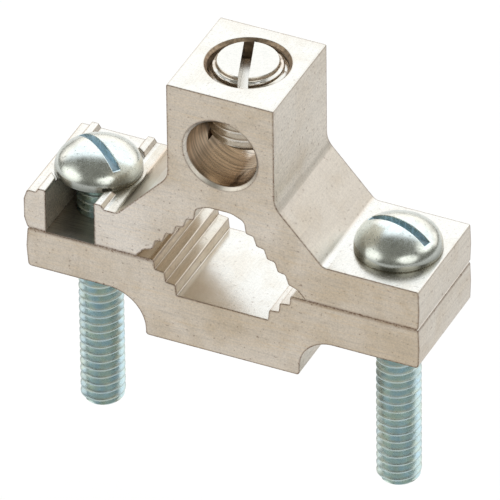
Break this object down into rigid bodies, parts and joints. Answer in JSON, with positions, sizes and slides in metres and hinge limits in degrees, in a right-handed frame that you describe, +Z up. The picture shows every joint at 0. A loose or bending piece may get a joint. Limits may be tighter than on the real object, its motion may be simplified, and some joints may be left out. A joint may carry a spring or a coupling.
{
  "type": "earthing pipe clamp",
  "caption": "Two-jaw pipe clamp with a toothed pipe opening, paired clamp screws and a top block whose cross bore holds an earthing conductor under a slotted set screw.",
  "frame": {"origin": "centre of the split between the closed jaws, midway between the clamp screws and midway along the pipe", "axes": "+X along the bars towards the arm with the plain hole, +Y along the pipe and the conductor to the back, +Z up out of the conductor block"},
  "size_m": [0.0585, 0.0172, 0.0621],
  "materials": {
    "tinned_aluminium": "satin",
    "tinned_set_screw": "satin",
    "zinc_steel": "bright zinc plate"
  },
  "bodies": {
    "upper_jaw_body": {"upper_jaw": "tinned_aluminium"},
    "lower_jaw_body": {"lower_jaw": "tinned_aluminium"},
    "left_screw_body": {"left_clamp_screw": "zinc_steel"},
    "right_screw_body": {"right_clamp_screw": "zinc_steel"},
    "set_screw_body": {"set_screw": "tinned_set_screw"}
  },
  "joints": [
    {"name": "jaw_travel", "type": "slide", "parent": "upper_jaw_body", "child": "lower_jaw_body", "axis": [0, 0, -1], "range_m": [0, 0.0254]},
    {"name": "right_screw_turn", "type": "hinge", "parent": "upper_jaw_body", "child": "right_screw_body", "pos_m": [0.02223, 0, 0], "axis": [0, 0, 1], "range_deg": [0, 7200]},
    {"name": "left_screw_turn", "type": "hinge", "parent": "upper_jaw_body", "child": "left_screw_body", "pos_m": [-0.02223, 0, 0], "axis": [0, 0, 1], "range_deg": [0, 7200]},
    {"name": "set_screw_travel", "type": "slide", "parent": "upper_jaw_body", "child": "set_screw_body", "axis": [0, 0, 1], "range_m": [-0.00035, 0.0071]}
  ],
  "couplings": [
    {"joint": "right_screw_turn", "follows": "jaw_travel", "rad_per_m": 4947.4},
    {"joint": "left_screw_turn", "follows": "jaw_travel", "rad_per_m": 4947.4}
  ]
}
